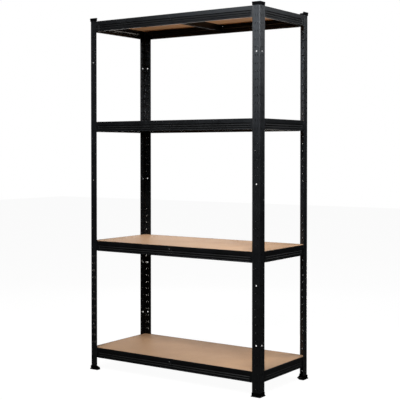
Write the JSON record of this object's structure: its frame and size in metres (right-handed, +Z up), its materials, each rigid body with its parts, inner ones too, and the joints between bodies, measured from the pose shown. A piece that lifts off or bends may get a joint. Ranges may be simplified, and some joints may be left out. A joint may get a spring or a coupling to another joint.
{
  "type": "boltless steel shelving",
  "caption": "Free-standing black boltless steel shelving unit with slotted angle posts, hook-in beams and loose MDF boards.",
  "frame": {"origin": "on the floor, under the middle of the unit", "axes": "+Z up, +X along the width to the right, -Y towards the front"},
  "size_m": [0.909, 0.409, 1.6],
  "materials": {
    "powder_coated_post": "semi-matt black powder coat",
    "powder_coated_beam": "semi-matt black powder coat",
    "black_plastic": "moulded, matt",
    "mdf_board": "raw smooth MDF"
  },
  "bodies": {
    "frame": {"post_front_left_lower": "powder_coated_post", "post_front_left_upper": "powder_coated_post", "post_front_right_lower": "powder_coated_post", "post_front_right_upper": "powder_coated_post", "post_rear_left_lower": "powder_coated_post", "post_rear_left_upper": "powder_coated_post", "post_rear_right_lower": "powder_coated_post", "post_rear_right_upper": "powder_coated_post", "splice_front_left": "powder_coated_post", "splice_front_right": "powder_coated_post", "splice_rear_left": "powder_coated_post", "splice_rear_right": "powder_coated_post", "cap_front_left": "black_plastic", "cap_front_right": "black_plastic", "cap_rear_left": "black_plastic", "cap_rear_right": "black_plastic", "foot_front_left": "black_plastic", "foot_front_right": "black_plastic", "foot_rear_left": "black_plastic", "foot_rear_right": "black_plastic", "beam_front_1": "powder_coated_beam", "beam_rear_1": "powder_coated_beam", "beam_left_1": "powder_coated_beam", "beam_right_1": "powder_coated_beam", "beam_front_2": "powder_coated_beam", "beam_rear_2": "powder_coated_beam", "beam_left_2": "powder_coated_beam", "beam_right_2": "powder_coated_beam", "beam_front_3": "powder_coated_beam", "beam_rear_3": "powder_coated_beam", "beam_left_3": "powder_coated_beam", "beam_right_3": "powder_coated_beam", "beam_front_4": "powder_coated_beam", "beam_rear_4": "powder_coated_beam", "beam_left_4": "powder_coated_beam", "beam_right_4": "powder_coated_beam", "crossbar_1": "powder_coated_beam", "crossbar_2": "powder_coated_beam", "crossbar_3": "powder_coated_beam", "crossbar_4": "powder_coated_beam"},
    "shelf_1": {"board_1": "mdf_board"},
    "shelf_2": {"board_2": "mdf_board"},
    "shelf_3": {"board_3": "mdf_board"},
    "shelf_4": {"board_4": "mdf_board"}
  },
  "joints": [
    {"name": "board_1_lift", "type": "slide", "parent": "frame", "child": "shelf_1", "axis": [0, 0, 1], "range_m": [0, 0.25]},
    {"name": "board_2_lift", "type": "slide", "parent": "frame", "child": "shelf_2", "axis": [0, 0, 1], "range_m": [0, 0.25]},
    {"name": "board_3_lift", "type": "slide", "parent": "frame", "child": "shelf_3", "axis": [0, 0, 1], "range_m": [0, 0.25]},
    {"name": "board_4_lift", "type": "slide", "parent": "frame", "child": "shelf_4", "axis": [0, 0, 1], "range_m": [0, 0.25]}
  ]
}
